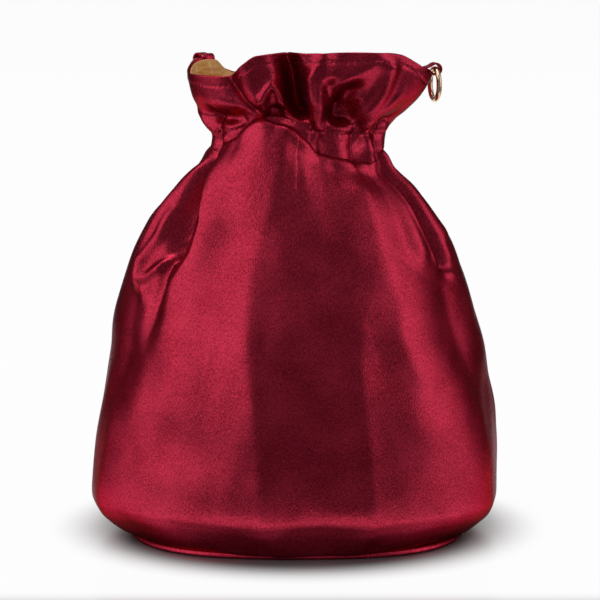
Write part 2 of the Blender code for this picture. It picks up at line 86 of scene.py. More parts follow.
# The elastic's casing, the pleats in it and the collar that rolls up under it
gather = {
    "casing": 0.0086,
    "puff": 0.0012,
    "pleats": 14,
    "pleatDepth": 0.0032,
    "reachDown": 0.010,
    "reachUp": 0.020,
    "elasticWidth": 0.0050,
    "elasticThickness": 0.0008,
    "elasticRib": 0.00012,
    "rollSetback": 0.0045,
    "rollReach": 0.0380,
    "rollLean": 0.22,
}
casingLow = neckHeight - gather["casing"] / 2
casingHigh = neckHeight + gather["casing"] / 2

# Heights around the bag, as (angle, offset)
gatherLow = ((-140, 0.001), (-90, 0.0), (-66, 0.0005), (-48, 0.0025), (-30, 0.0070),
             (-19, 0.0090), (-8, 0.0080), (4, 0.0040), (16, -0.0010), (32, -0.0045),
             (46, -0.0050), (62, -0.0020), (80, 0.0), (150, -0.002), (180, 0.001))
gatherHigh = ((-140, 0.0), (-90, 0.0), (-66, 0.0005), (-48, 0.0025), (-30, 0.0070),
              (-19, 0.0090), (-8, 0.0080), (4, 0.0045), (16, 0.0020), (32, 0.0008),
              (60, 0.0), (150, 0.001), (180, 0.0))
collarRoll = ((-150, 0.003), (-90, 0.001), (-66, 0.002), (-48, 0.005), (-30, 0.0095),
              (-19, 0.0110), (-8, 0.0100), (4, 0.0065), (16, 0.0045), (32, 0.0040),
              (46, 0.0030), (62, 0.0010), (90, 0.001), (130, 0.003), (180, 0.005))
rimDrop = ((-150, 0.0125), (-140, 0.0128), (-131, 0.0103), (-122, 0.0060), (-112, 0.0056),
           (-102, 0.0078), (-92, 0.0096), (-80, 0.0112), (-62, 0.0114), (-44, 0.0116),
           (-37, 0.0096), (-30, 0.0052), (-24, 0.0016), (-12, 0.0007), (20, 0.0),
           (34, 0.0004), (44, 0.0016), (56, 0.0060), (66, 0.0102), (78, 0.0121),
           (96, 0.0114), (116, 0.0093), (150, 0.0060), (180, 0.0080))

# Main folds: rise, half width and path as (angle, height over the casing's middle)
mainFolds = (
    (-0.0030, 0.0042, ((-41, 0.034), (-36, 0.025), (-30, 0.019), (-24, 0.012))),
    (0.0014, 0.0110, ((-60, 0.028), (-56, 0.021))),
    (-0.0075, 0.0050, ((-64, 0.012), (-54, 0.011), (-42, 0.010))),
    (0.0026, 0.0034, ((-88, 0.012), (-76, 0.007), (-58, 0.002))),
    (0.0042, 0.0070, ((-30, 0.038), (-27, 0.026), (-22, 0.017))),
    (-0.0105, 0.0052, ((-12, 0.042), (-8, 0.030), (-4, 0.021), (1, 0.010))),
    (0.0036, 0.0046, ((6, 0.040), (3, 0.030), (4, 0.021), (11, 0.009))),
    (-0.0050, 0.0042, ((10, 0.027), (14, 0.021), (20, 0.012))),
    (0.0045, 0.0075, ((30, 0.040), (21, 0.033), (13, 0.028))),
    (-0.0062, 0.0040, ((21, 0.025), (20, 0.020), (28, 0.012), (40, 0.004))),
    (0.0042, 0.0044, ((38, 0.035), (39, 0.024), (38, 0.010), (47, 0.001), (55, -0.008))),
    (0.0030, 0.0110, ((64, 0.028), (60, 0.018))),
    (-0.0012, 0.0070, ((95, 0.036), (94, 0.022))),
    (-0.0020, 0.0070, ((-119, 0.036), (-119, 0.022))),
    (-0.0048, 0.0040, ((54, 0.009), (66, 0.010), (78, 0.008))),
    (-0.0070, 0.0060, ((-64, -0.004), (-59, -0.015), (-53, -0.030), (-50, -0.046))),
    (0.0038, 0.0050, ((-68, -0.012), (-68, -0.036), (-69, -0.050), (-66, -0.058))),
    (-0.0042, 0.0042, ((61, -0.006), (64, -0.022), (64, -0.038), (67, -0.054))),
    (0.0030, 0.0060, ((56, -0.010), (54, -0.030), (53, -0.045))),
    (0.0026, 0.0060, ((74, -0.012), (76, -0.040))),
    (-0.0064, 0.0066, ((122, 0.036), (124, 0.020), (127, 0.006), (129, -0.020))),
    (0.0036, 0.0070, ((141, 0.036), (142, 0.018))),
    (-0.0062, 0.0064, ((161, 0.034), (158, 0.018), (155, 0.002), (151, -0.026))),
    (0.0040, 0.0080, ((178, 0.034), (180, 0.016))),
    (-0.0056, 0.0066, ((197, 0.030), (199, 0.018), (201, 0.002), (205, -0.030))),
    (0.0036, 0.0065, ((210, 0.030), (212, 0.016))),
    (-0.0040, 0.0056, ((221, 0.030), (224, 0.016), (227, 0.000), (231, -0.022))),
    (0.0035, 0.0070, ((168, -0.020), (166, -0.045))),
    (0.0035, 0.0070, ((217, -0.018), (219, -0.044))),
    (0.0030, 0.0070, ((142, -0.018), (141, -0.040))),
)

# Fine folds, in millimetres: (angle, height, rise, half width) along each path, top first.
# A fifth number is the half width on the side of the larger angle.
fineFolds = (
    ((-41, 211, -1.0, 1.2), (-36, 206, -2.0, 1.3), (-30, 200, -2.2, 1.3), (-24, 194, -1.0, 1.4)),
    ((-25, 194, 1.2, 1.8), (-21, 203, 2.4, 1.8), (-17, 210, 2.0, 2.0), (-13, 205, 2.4, 1.8),
     (-10, 197, 1.6, 1.6)),
    ((-17, 205, -2.0, 2.2), (-17, 199, -4.6, 2.8), (-17, 194, -3.0, 2.2)),
    ((-12, 219, -1.5, 2.4), (-9, 211, -4.0, 2.6), (-7, 203, -5.0, 2.6), (-3, 193, -4.5, 2.4),
     (3, 186, -1.5, 1.8)),
    ((3, 221, 0.5, 2.6), (-1, 212, 2.6, 2.2), (1, 203, 3.2, 2.1), (6, 194, 2.6, 2.0),
     (12, 189, 1.0, 1.8)),
    ((11, 216, 0.6, 3.2), (6, 208, 1.6, 2.8), (6, 203, 1.8, 2.6), (10, 196, 1.8, 2.4),
     (13, 189, 1.0, 2.2)),
    ((17, 207, -1.0, 2.6), (16, 203, -1.8, 2.6), (18, 196, -2.0, 2.6), (26, 189, -1.4, 2.2)),
    ((22, 206, -0.6, 2.6), (24, 202, -1.4, 2.6), (30, 196, -2.0, 2.4), (38, 188, -1.2, 2.0)),
    ((49, 213, 0.8, 4.2), (51, 204, 1.8, 4.0), (48, 197, 1.8, 3.4), (46, 190, 1.0, 2.6)),
    # The wedge at the left shoulder, its overhanging edge, its ridge and the hook below it
    ((-62, 176, 1.2, 1.4, 7.0), (-50, 166, 2.4, 1.4, 9.0), (-42, 156, 3.0, 1.5, 10.0),
     (-38, 146, 3.0, 1.6, 10.0), (-39, 134, 2.6, 1.7, 10.0), (-42, 126, 2.0, 2.2, 10.0),
     (-46, 117, 1.2, 3.0, 10.0), (-48, 106, 0.4, 4.0, 10.0)),
    ((-61, 172, -4.0, 3.0, 1.4), (-51, 162, -7.0, 4.2, 1.6), (-46, 152, -8.5, 5.0, 1.8),
     (-45, 143, -8.0, 5.0, 1.8), (-48, 135, -3.0, 3.4, 1.8)),
    ((-67, 178, 1.4, 2.4), (-65, 166, 2.0, 2.5), (-60, 152, 2.2, 2.6), (-61, 140, 2.2, 2.6),
     (-65, 128, 2.2, 2.8), (-63, 119, 2.2, 2.8), (-59, 114, 1.0, 2.8)),
    ((-48, 138, 0.9, 2.0), (-52, 133, 1.6, 2.1), (-55, 127, 2.0, 2.2), (-61, 121, 2.0, 2.4),
     (-66, 118, 1.0, 2.6)),
    ((-50, 127, -2.6, 3.2), (-50, 118, -3.6, 4.2), (-49, 106, -2.6, 5.0), (-50, 96, -1.0, 6.0)),
    # The crease down the right shoulder
    ((53, 179, 0.5, 1.4), (59, 171, 1.2, 1.3), (57, 160, 1.3, 1.4), (57, 150, 1.3, 1.5),
     (58, 139, 1.2, 1.6), (61, 131, 1.2, 1.7), (66, 125, 1.2, 1.9), (73, 121, 0.8, 2.2),
     (83, 117, 0.3, 2.6)),
    ((57, 176, -0.6, 1.2, 2.6), (62, 168, -1.4, 1.3, 3.0), (60, 158, -1.6, 1.4, 3.4),
     (60, 148, -1.5, 1.5, 3.8), (62, 138, -1.3, 1.6, 4.0), (66, 130, -1.0, 1.8, 4.4),
     (74, 125, -0.6, 2.0, 4.0)),
    ((62, 174, 0.6, 2.8), (68, 160, 1.6, 3.4), (68, 148, 1.6, 3.8), (69, 138, 1.3, 3.6),
     (73, 130, 0.8, 3.0)),
)

# Broad ridges and hollows that part the body into flatter fields
bodyFields = (
    ((-6, 172, 0.3, 9.0), (-10, 150, 1.0, 10.0), (-15, 126, 1.2, 10.0, 12.0),
     (-14, 96, 1.8, 11.0, 13.0), (-10.5, 60, 2.6, 11.0, 14.0), (-8.5, 14, 2.8, 10.0, 14.0)),
    ((32, 136, 0.2, 9.0), (27, 124, 0.9, 10.0), (20, 104, 1.6, 11.0), (18, 76, 2.4, 12.0, 10.0),
     (19, 50, 2.8, 12.0, 10.0), (20.5, 14, 2.6, 12.0, 9.0)),
    ((-42, 116, 0.8, 11.0), (-38, 101, 2.0, 12.0), (-36, 86, 2.2, 12.0), (-40, 70, 1.0, 12.0)),
    ((-64, 114, -1.8, 15.0), (-60, 92, -4.2, 16.0), (-63, 72, -2.0, 16.0)),
    ((-36, 60, -0.8, 14.0), (-36, 20, -1.2, 14.0)),
    ((-61, 56, 0.8, 8.0), (-62, 14, 1.4, 7.0)),
    ((35, 118, 1.2, 10.0), (33, 98, 2.0, 11.0), (36, 84, 1.4, 11.0)),
    ((37, 174, 1.0, 8.0), (34, 158, 2.0, 9.0), (33, 144, 1.8, 10.0), (34, 128, 1.2, 11.0)),
    ((64, 140, -1.0, 14.0), (61, 120, -2.6, 16.0), (60, 98, -4.4, 17.0), (63, 78, -2.6, 17.0)),
    ((62, 56, 0.6, 8.0), (63, 14, 1.0, 7.0)),
)

# Side tabs and rings
sides = {
    "seamTwist": {"left": -30.0, "right": 4.0},
    "eye": {"left": (0.0060, -0.0003), "right": (0.0056, 0.0018)},
    "turn": {"left": -45.0, "right": 14.5},
    "tabWidth": 0.0052,
    "strip": 0.0009,
    "stem": 0.0060,
    "crest": 0.0025,
    "slit": 0.0001,
    "wire": 0.0025,
    "ringOuter": 0.0166,
    "edge": 0.00032,
    "eyeNeck": 1.35,
}

# How a panel's edges are finished: the rim turns over into a hem, both side edges curl in
# by these steps, and the lowest edge is tucked into the sole
hem = {
    "length": 0.0085,
    "rows": 12,
    "rimSteps": (30, 60, 90, 120, 150),
    "sideCurl": (0.0009, 0.0004, 0.0001),
    "curlFrom": 0.001,
    "curlReach": 0.006,
    "tuckIn": 0.003,
    "tuckHeight": 0.0016,
}

# Mesh density
density = {
    "frontColumns": 340,
    "backColumns": 250,
    "liningColumns": 300,
    "bodyStep": 0.00105,
    "ruffleRows": 76,
    "casingRows": 12,
}

# Stitch rows: length and pitch of a stitch, thread radius, depth of the dimple under it
stitches = {
    "length": 0.0019,
    "pitch": 0.0027,
    "radius": 0.00013,
    "hemDrop": 0.0039,
    "dimple": 0.00040,
    "dimpleReach": 0.0007,
}


def smooth(x):
    x = np.clip(x, 0.0, 1.0)
    return x * x * (3 - 2 * x)


# A smooth curve through the knots that doesn't overshoot them
def curveThrough(knots, values, at):
    knots, values = np.asarray(knots, float), np.asarray(values, float)
    step = np.diff(knots)
    slope = np.diff(values) / step
    tangent = np.zeros(len(knots))
    for i in range(1, len(knots) - 1):
        if slope[i - 1] * slope[i] > 0:
            before, after = 2 * step[i] + step[i - 1], step[i] + 2 * step[i - 1]
            tangent[i] = (before + after) / (before / slope[i - 1] + after / slope[i])
    tangent[0], tangent[-1] = slope[0], slope[-1]
    k = np.clip(np.searchsorted(knots, at, side="right") - 1, 0, len(knots) - 2)
    t = (at - knots[k]) / step[k]
    return ((1 + 2 * t) * (1 - t) ** 2 * values[k] + t * (1 - t) ** 2 * step[k] * tangent[k]
            + t * t * (3 - 2 * t) * values[k + 1] + t * t * (t - 1) * step[k] * tangent[k + 1])


# A table of (degrees, value), read all the way round the bag
def around(table, angle):
    rows = sorted((degrees % 360, value) for degrees, value in table)
    rows = [(rows[-1][0] - 360, rows[-1][1])] + rows + [(rows[0][0] + 360, rows[0][1])]
    return curveThrough([r[0] for r in rows], [r[1] for r in rows], np.degrees(angle) % 360)


def rimHeight(angle):
    return cloth["rimHeight"] - around(rimDrop, angle)


# How far the gather runs above or below its mean height, fading out towards chest and mouth
def gatherLift(angle, level):
    low = smooth((level - chestHeight) / (casingLow - chestHeight))
    across = smooth((level - casingLow) / gather["casing"])
    fade = 1 - smooth((level - casingHigh) / (ruffleHeight - casingHigh))
    return (around(gatherLow, angle) * low * (1 - across)
            + around(gatherHigh, angle) * across * fade)


# The collar's roll swells slowly up to its crest and drops in quickly under the casing
def rollShare(level):
    crest = casingLow - gather["rollSetback"]
    up = smooth((level - crest + gather["rollReach"]) / gather["rollReach"])
    down = smooth((casingLow - level) / gather["rollSetback"])
    return np.where(level < crest, up, down)


# Half width, half depth and sway of the outline at a level
def section(level):
    heights, widths, depths, sways = outlineRows.T
    at = np.minimum(level, mouthHeight)
    flare = (widths[-1] - widths[-2]) / (mouthHeight - ruffleHeight)
    past = np.maximum(level - mouthHeight, 0) * flare * cloth["rimFlare"]
    return ((curveThrough(heights, widths, at) + past) / 2,
            (curveThrough(heights, depths, at) + past) / 2,
            curveThrough(heights, sways, at))


# The wall without its folds. rolled is 1 for the satin's collar and 0 for what lies behind it.
def bodyPoint(angle, level, rolled):
    halfWidth, halfDepth, sway = section(level)
    casing = np.clip(1 - ((level - neckHeight) / (gather["casing"] / 2)) ** 2, 0, 1)
    roll = rolled * around(collarRoll, angle) * rollShare(level)
    power = 2 + (cloth["baseCorner"] - 2) * (1 - smooth(level / shoulderHeight))
    sin, cos = np.sin(angle), np.cos(angle)
    square = (np.abs(sin) ** power + np.abs(cos) ** power) ** (-1 / power)
    spread = gather["puff"] * casing + gather["rollLean"] * roll
    return np.stack([sway + (halfWidth + spread) * square * sin,
                     -(halfDepth + spread) * square * cos,
                     level + gatherLift(angle, level) + roll], axis=-1)


# Small steps, in radians and metres, that slopes are measured over
turn, climb = 1e-3, 1e-5


def bodyNormal(angle, level, rolled):
    across = bodyPoint(angle + turn, level, rolled) - bodyPoint(angle - turn, level, rolled)
    up = bodyPoint(angle, level + climb, rolled) - bodyPoint(angle, level - climb, rolled)
    normal = np.cross(across, up)
    return normal / np.linalg.norm(normal, axis=-1, keepdims=True)


# 1 across the casing, where the elastic needs its room, and 0 away from it
def elasticRoom(level):
    outside = np.abs(level - neckHeight) - gather["casing"] / 2
    return 1 - smooth(outside / gather["casing"])


# The rise of one fold along its path of (angle, height, rise, half width)
def strokeRise(angle, height, perRadian, path, power=2.0):
    degrees = [p[0] for p in path]
    reach = 3.2 * max(max(p[3:]) for p in path)
    middle = math.radians((min(degrees) + max(degrees)) / 2)
    halfTurn = math.radians((max(degrees) - min(degrees)) / 2)
    off = np.abs((angle - middle + math.pi) % (2 * math.pi) - math.pi)
    near = ((off * perRadian < halfTurn * perRadian + reach)
            & (height > min(p[1] for p in path) - reach)
            & (height < max(p[1] for p in path) + reach))
    total = np.zeros_like(height)
    if not near.any():
        return total
    a, h, per = angle[near], height[near], perRadian[near]
    best, rise = np.full(a.shape, np.inf), np.zeros_like(a)
    for start, end in zip(path, path[1:]):
        (a0, h0, r0, left0, right0), (a1, h1, r1, left1, right1) = twoSided(start), twoSided(end)
        x = ((a - math.radians(a0) + math.pi) % (2 * math.pi) - math.pi) * per
        y = h - h0
        runX, runY = math.radians(a1 - a0) * per, h1 - h0
        share = np.clip((x * runX + y * runY) / (runX ** 2 + runY ** 2 + 1e-12), 0, 1)
        right = runX * y - runY * x > 0
        width = np.where(right, right0 + (right1 - right0) * share,
                         left0 + (left1 - left0) * share)
        away = np.hypot(x - share * runX, y - share * runY) / width
        closer = away < best
        best = np.where(closer, away, best)
        rise = np.where(closer, r0 + (r1 - r0) * share, rise)
    rounded = np.sqrt(best ** 2 + 0.01) - 0.1 if power < 2 else best
    total[near] = rise * np.exp(-rounded ** power)
    return total


def twoSided(point):
    return point if len(point) == 5 else (*point, point[3])


def inMetres(path):
    return tuple((p[0], p[1] / 1000 - neckHeight, *(v / 1000 for v in p[2:])) for p in path)


# Small creases at the gather, a pair every few degrees: lengths in metres, rises in millimetres,
# half widths in metres from the gather outwards. Those below it in front stay fainter.
creases = {
    "every": 4.6,
    "fromNeck": 0.006,
    "lean": 3.0,
    "below": {"length": (0.010, 0.030), "rise": (0.35, 0.9), "widths": (0.0024, 0.0024, 0.0034)},
    "above": {"length": (0.008, 0.020), "rise": (0.2, 0.5), "widths": (0.0013, 0.0019, 0.0026)},
    "frontShare": 0.25,
}


# Creases that fan out below the gather and run up the ruffle above it
def scatteredFolds():
    random = np.random.default_rng(11)
    below, above, near = creases["below"], creases["above"], creases["fromNeck"]
    made = []
    for angle in np.arange(-178, 180, creases["every"]):
        start = angle + random.uniform(-1.5, 1.5)
        length = random.uniform(*below["length"])
        rise = random.choice([-1, 1]) * random.uniform(*below["rise"]) / 1000
        rise *= creases["frontShare"] + 0.6 * smooth((abs(start) - 40) / 30)
        lean = random.uniform(-creases["lean"], creases["lean"])
        first, middle, last = below["widths"]
        made.append(((start, -near, rise, first),
                     (start + lean, -near - length * 0.5, rise, middle),
                     (start + lean * 1.5, -near - length, rise * 0.15, last)))
        length = random.uniform(*above["length"])
        rise = random.choice([-1, 1]) * random.uniform(*above["rise"]) / 1000
        first, middle, last = above["widths"]
        made.append(((start + 2, near, rise, first),
                     (start + 2 + lean, near + length * 0.5, rise, middle),
                     (start + 2 + lean, near + length, rise * 0.1, last)))
    return made


allFolds = ([tuple((a, h, rise, width) for a, h in path) for rise, width, path in mainFolds]
            + [inMetres(path) for path in fineFolds] + scatteredFolds())
allFields = [inMetres(path) for path in bodyFields]


# Length of the wall's outline per radian at each point
def wallPerRadian(angle, level):
    reach = bodyPoint(angle + turn, level, 0) - bodyPoint(angle - turn, level, 0)
    return np.linalg.norm(reach, axis=-1) / (2 * turn)


def foldRise(angle, level):
    height = level + gatherLift(angle, level) - neckHeight
    perRadian = wallPerRadian(angle, level)
    total = np.zeros_like(height)
    for path in allFolds:
        total += strokeRise(angle, height, perRadian, path)
    for path in allFields:
        total += strokeRise(angle, height, perRadian, path, 1.25)
    return np.where(total < 0, total * (1 - elasticRoom(level)), total)


def pleatRise(angle, level):
    reach = np.where(level < neckHeight, (casingLow - level) / gather["reachDown"],
                     (level - casingHigh) / gather["reachUp"])
    uneven = 0.86 + 0.10 * np.sin(angle * 3.0 + 1.0) + 0.06 * np.sin(angle * 11.0)
    return (gather["pleatDepth"] * (1 - smooth(reach)) * uneven
            * np.abs(np.cos(angle * gather["pleats"] / 2)))


# The cloth dips along each row of stitches, more at each needle hole.
def stitchDip(angle, level):
    halfWidth = section(level)[0]
    beat = 0.7 + 0.3 * np.cos(angle * halfWidth * 2 * math.pi / stitches["pitch"])
    dip = np.zeros_like(level)
    for row in (casingLow, casingHigh, rimHeight(angle) - stitches["hemDrop"]):
        dip -= stitches["dimple"] * beat * np.exp(-((level - row) / stitches["dimpleReach"]) ** 2)
    return dip


# Wavelengths and heights of the soft uneven tension all over the cloth
tension = ((0.062, 0.00050), (0.041, 0.00035), (0.026, 0.00020), (0.014, 0.00007))


def crumple(points):
    random = np.random.default_rng(5)
    total = np.zeros(points.shape[:-1])
    for wave, high in tension:
        for _ in range(5):
            direction = random.normal(size=3)
            direction *= 2 * math.pi / wave / np.linalg.norm(direction)
            total += high * np.sin(points @ direction + random.uniform(0, 6.3)) / 2
    return total


def clothRise(angle, level):
    return foldRise(angle, level) + pleatRise(angle, level)


# The lowest rise within a short reach, which keeps the lining clear of steep folds.
def lowestRise(angle, level):
    reach = cloth["liningReach"] * smooth((rimHeight(angle) - level) / cloth["liningFade"])
    aside = reach / section(level)[1]
    lowest = clothRise(angle, level)
    for sideways, up in ((1, 0), (-1, 0), (0, 1), (0, -1), (0.7, 0.7), (-0.7, 0.7),
                         (0.7, -0.7), (-0.7, -0.7)):
        near = clothRise(angle + sideways * aside, np.maximum(level + up * reach, 0.003))
        lowest = np.minimum(lowest, near)
    return lowest


def flattened(normal, share):
    flat = normal.copy()
    flat[..., 2] = normal[..., 2] * (1 - share)
    return flat / np.linalg.norm(flat, axis=-1, keepdims=True)


# Both side seams run straight up the body and turn with the ruffle above it
def seamTurn(level):
    return smooth((level - shoulderHeight) / (ruffleHeight - shoulderHeight))


def seamAngle(side, level):
    start = -90 if side == "left" else 90
    return math.radians(start) + math.radians(sides["seamTwist"][side]) * seamTurn(level)


# 1 behind the tabs' stems and 0 away from them
def tabRoom(angle, level):
    room = np.zeros_like(level)
    for side in ("left", "right"):
        seam = seamAngle(side, cloth["rimHeight"])
        off = np.abs((angle - seam + math.pi) % (2 * math.pi) - math.pi)
        off = off * outline["mouth"][2] / 2
        beside = 1 - smooth((off - sides["tabWidth"] * 0.9) / sides["tabWidth"])
        below = rimHeight(angle) - level - sides["stem"]
        room = np.maximum(room, beside * (1 - smooth((below - cloth["gap"]) / sides["stem"])))
    return room


# Points on a face of the cloth, counted inwards from the satin's face. room keeps clear of
# the elastic and the tabs, for the lining.
def clothPoints(angle, level, depth, rolled=1, room=False):
    rise = lowestRise(angle, level) if room else clothRise(angle, level)
    edge = bodyPoint(angle + turn, level, 0) - bodyPoint(angle - turn, level, 0)
    slope = clothRise(angle + turn, level) - clothRise(angle - turn, level)
    slope = slope / np.linalg.norm(edge, axis=-1)
    inward = depth * np.minimum(np.sqrt(1 + slope ** 2), cloth["steepest"])
    if room:
        band = (gather["elasticThickness"] + 2 * cloth["gap"]
                + cloth["satin"] * (cloth["steepest"] - 1))
        inward = inward + elasticRoom(level) * (band + 2 * np.maximum(rise, 0))
        stem = 2 * sides["strip"] + sides["slit"] + 3 * cloth["gap"]
        inward = inward + tabRoom(angle, level) * stem
    base = bodyPoint(angle, level, rolled)
    normal = bodyNormal(angle, level, rolled)
    upright = flattened(normal, smooth((level - casingLow) / gather["casing"]))
    rise = rise + crumple(base) + stitchDip(angle, level)
    return base + upright * (rise - inward)[..., None]


def bodyLevels(lowest):
    count = int((casingLow - lowest) / density["bodyStep"])
    return list(np.linspace(lowest, casingLow, count + 1))


def ruffleShares():
    return list(np.linspace(0, 1, density["ruffleRows"] + 1)[1:])


# Angles and levels of every row, from the lowest level to the rim.
def gridRows(lowest, anglesAt, ruffle):
    casing = list(np.linspace(casingLow, casingHigh, density["casingRows"] + 1)[1:])
    angles, levels = [], []
    for level in bodyLevels(lowest) + casing:
        angle = anglesAt(level)
        angles.append(angle)
        levels.append(np.full(angle.shape, level))
    for share in ruffle:
        angle = anglesAt(casingHigh + share * (cloth["rimHeight"] - casingHigh))
        angles.append(angle)
        levels.append(casingHigh + share * (rimHeight(angle) - casingHigh))
    return np.array(angles), np.array(levels)


def newMesh(name, points, faces, uv=None):
    mesh = bpy.data.meshes.new(name)
    mesh.from_pydata([tuple(p) for p in points], [], faces)
    mesh.shade_smooth()
    if uv is not None:
        layer = mesh.uv_layers.new(name="cloth")
        corners = np.zeros(len(mesh.loops), int)
        mesh.loops.foreach_get("vertex_index", corners)
        layer.data.foreach_set("uv", np.asarray(uv, float)[corners].ravel())
    obj = bpy.data.objects.new(name, mesh)
    bpy.context.scene.collection.objects.link(obj)
    return obj


def gridFaces(high, wide, closed=False, start=0):
    columns = wide if closed else wide - 1
    r, c = np.meshgrid(np.arange(high - 1), np.arange(columns), indexing="ij")
    a = start + r * wide + c
    b = start + r * wide + (c + 1) % wide
    return np.stack([a, b, b + wide, a + wide], axis=-1).reshape(-1, 4).tolist()


def clothUv(angle, level):
    return np.stack([angle * section(level)[0], level], axis=-1)


def frontAngles(level):
    first, last = seamAngle("left", level), seamAngle("right", level)
    half = cloth["panelGap"] / 2 / section(level)[1]
    return np.linspace(first + half, last - half, density["frontColumns"] + 1)


def backAngles(level):
    first, last = seamAngle("right", level), seamAngle("left", level) + 2 * math.pi
    half = cloth["panelGap"] / 2 / section(level)[1]
    return np.linspace(first + half, last - half, density["backColumns"] + 1)


def wholeAngles(level):
    first = seamAngle("left", level)
    return first + np.linspace(0, 2 * math.pi, density["liningColumns"], endpoint=False)


# Outer face up to the rim, a rounded rim and the hem that is turned in behind it.
def makePanel(name, anglesAt):
    angle, level = gridRows(outline["seam"][0], anglesAt, ruffleShares())
    outer = clothPoints(angle, level, 0.0)
    seamTuck(outer, level)
    hidden = outer[:1] * [1, 1, 0]
    hidden = outer[:1] - hem["tuckIn"] * hidden / np.linalg.norm(hidden, axis=-1, keepdims=True)
    hidden[..., 2] = hem["tuckHeight"]
    uv = clothUv(angle, level)
    rows, uvs = [hidden, outer], [uv[:1], uv]
    top, topLevel = angle[-1], level[-1]
    inner = clothPoints(top[None], topLevel[None], cloth["satin"])[0]
    middle, across = (outer[-1] + inner) / 2, (outer[-1] - inner) / 2
    thick = np.linalg.norm(across, axis=-1)
    for degrees in hem["rimSteps"]:
        t = math.radians(degrees)
        lift = np.zeros_like(middle)
        lift[:, 2] = thick * math.sin(t)
        rows.append((middle + across * math.cos(t) + lift)[None])
        uvs.append(clothUv(top, topLevel + 0.0003)[None])
    for drop in np.linspace(0, hem["length"], hem["rows"]):
        rows.append(clothPoints(top[None], (topLevel - drop)[None], cloth["satin"]))
        uvs.append(clothUv(top, topLevel - drop)[None])
    points = np.concatenate(rows)
    uv = np.concatenate(uvs).reshape(-1, 2)
    faces = gridFaces(points.shape[0], points.shape[1])
    return newMesh(name, points.reshape(-1, 3), faces, uv)


# Both edges of a panel curl inwards where it is sewn to its neighbour.
def seamTuck(points, level):
    for edge, step in ((0, 1), (-1, -1)):
        for i, tuck in enumerate(hem["sideCurl"]):
            column = edge + i * step
            middle = np.array([0.0, 0.0, 1.0]) * points[:, column]
            inward = middle - points[:, column]
            inward /= np.linalg.norm(inward, axis=-1, keepdims=True)
            fade = smooth((level[:, column] - hem["curlFrom"]) / hem["curlReach"])[:, None]
            points[:, column] += inward * tuck * fade


# The lining follows the satin at a distance and turns over at the rim
def makeLining():
    angle, level = gridRows(cloth["liningLowest"], wholeAngles, ruffleShares())
    turned = slice(-cloth["liningTurnRows"], None)
    depth = cloth["satin"] + cloth["gap"]
    inner = clothPoints(angle, level, depth + cloth["lining"], 0, True)
    back = clothPoints(angle[turned], level[turned], depth, 0, True)[::-1]
    inner[-1, :, 2] -= cloth["liningTurn"]
    back[0, :, 2] -= cloth["liningTurn"]
    points = np.concatenate([inner, back])
    uv = np.concatenate([clothUv(angle, level), clothUv(angle[turned], level[turned])[::-1]])
    faces = [tuple(reversed(f)) for f in gridFaces(points.shape[0], points.shape[1], True)]
    return newMesh("lining_cloth", points.reshape(-1, 3), faces, uv.reshape(-1, 2))


# An oval that follows the satin's section at a level, as rings of (outset, height)
def ovalSteps(name, level, steps, corners=160):
    angle = np.linspace(0, 2 * math.pi, corners, endpoint=False)
    at = np.full(corners, level)
    edge, normal = bodyPoint(angle, at, 0), bodyNormal(angle, at, 0)
    normal[:, 2] = 0
    normal /= np.linalg.norm(normal, axis=1)[:, None]
    rings = []
    for outset, height in steps:
        ring = edge + normal * outset
        ring[:, 2] = height
        rings.append(ring)
    faces = gridFaces(len(steps), corners, True)
    faces.append(tuple(range(corners - 1, -1, -1)))
    faces.append(tuple((len(steps) - 1) * corners + i for i in range(corners)))
    points = np.concatenate(rings)
    return newMesh(name, points, faces, points[:, :2])


# Heights and outset of the oval base's layers, and the rounding of their edges
basePieces = {
    "sole": 0.0027,
    "board": 0.0020,
    "lip": 0.0003,
    "boardEdge": 0.0002,
    "floorInset": 0.0020,
    "floorEdge": 0.0001,
    "hiddenCorners": 120,
}


# Rounded oval sole with its stitched lip, the board on it and the lining's floor
def makeBase():
    lip, high = basePieces["lip"], basePieces["sole"]  # the rounded lip, from the floor up
    sole = ovalSteps("sole_cloth", outline["seam"][0], [
        (lip - 0.0009, 0.0), (lip - 0.0004, 0.0001), (lip - 0.0001, 0.0005),
        (lip, 0.0010), (lip - 0.0001, 0.0015), (lip - 0.0004, high - 0.0001),
        (lip - 0.0009, high)])
    inset, gap, corners = cloth["satin"] + cloth["gap"], cloth["gap"], basePieces["hiddenCorners"]
    low, edge = high + gap, basePieces["boardEdge"]
    top = low + basePieces["board"]
    board = ovalSteps("base_stiffener", outline["seam"][0], [
        (-inset - edge, low), (-inset, low + edge), (-inset, top - edge),
        (-inset - edge, top)], corners)
    floor, reach = top + gap, inset + basePieces["floorInset"]
    edge, half = basePieces["floorEdge"], cloth["lining"] / 2
    lining = ovalSteps("lining_floor", floor, [
        (-reach - edge, floor), (-reach, floor + half), (-reach - edge, floor + 2 * half)],
        corners)
    return sole, board, lining


# Ribbed elastic band in the casing
def makeElastic():
    outer = cloth["satin"] * cloth["steepest"] + cloth["gap"]
    half = gather["elasticWidth"] / 2
    angle = wholeAngles(neckHeight)
    rings = []
    heights = np.linspace(-half, half, 13)
    for depth, order in ((outer, heights), (outer + gather["elasticThickness"], heights[::-1])):
        for i, h in enumerate(order):
            at = np.full(angle.shape, neckHeight + h)
            rib = gather["elasticRib"] * (i % 2)
            sign = 1 if depth == outer else -1
            rings.append(bodyPoint(angle, at, 0)
                         - bodyNormal(angle, at, 0) * (depth + sign * rib))
    points = np.array(rings)
    high, wide = points.shape[:2]
    faces = gridFaces(high, wide, True)
    faces += [(c, (high - 1) * wide + c, (high - 1) * wide + (c + 1) % wide, (c + 1) % wide)
              for c in range(wide)]
    return newMesh("casing_elastic", points.reshape(-1, 3), faces,
                   np.tile(clothUv(angle, np.full(wide, neckHeight)), (high, 1)))


